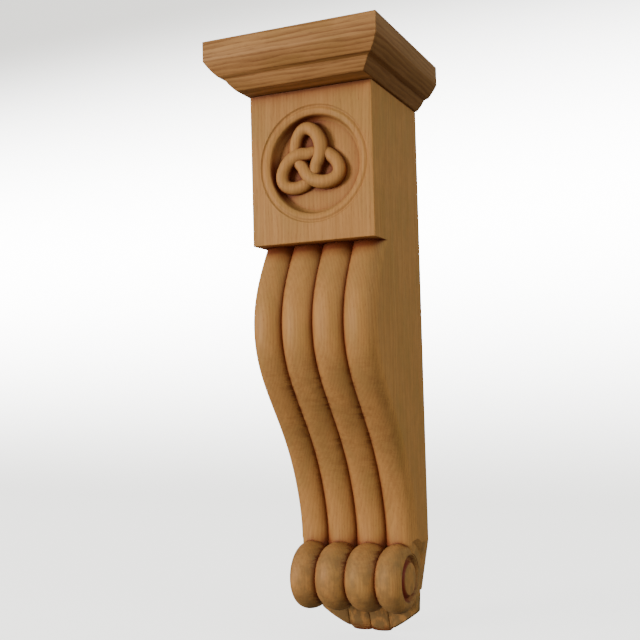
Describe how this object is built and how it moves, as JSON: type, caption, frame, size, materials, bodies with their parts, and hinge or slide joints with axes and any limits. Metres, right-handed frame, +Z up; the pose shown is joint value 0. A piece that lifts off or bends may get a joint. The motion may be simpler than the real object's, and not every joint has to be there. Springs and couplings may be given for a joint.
{
  "type": "wooden corbel bracket",
  "caption": "Carved wooden wall corbel: a moulded cap on a block with a sunk knot roundel, over a reeded console that sweeps back to the wall and ends in a scroll.",
  "frame": {"origin": "on the flat back, in the wall's plane, midway across and halfway up the whole piece", "axes": "+Z up, +Y out of the back into the wall, so the carved front faces -Y; +X to the right of someone facing the front"},
  "size_m": [0.1022, 0.0965, 0.337],
  "materials": {
    "cap_wood": "bare planed pale wood, grain running along each length of moulding, matt",
    "body_wood": "bare sanded pale wood, grain running up the piece, matt, darker in the cuts"
  },
  "bodies": {
    "root": {"cap_moulding": "cap_wood", "carved_body": "body_wood"}
  },
  "joints": []
}
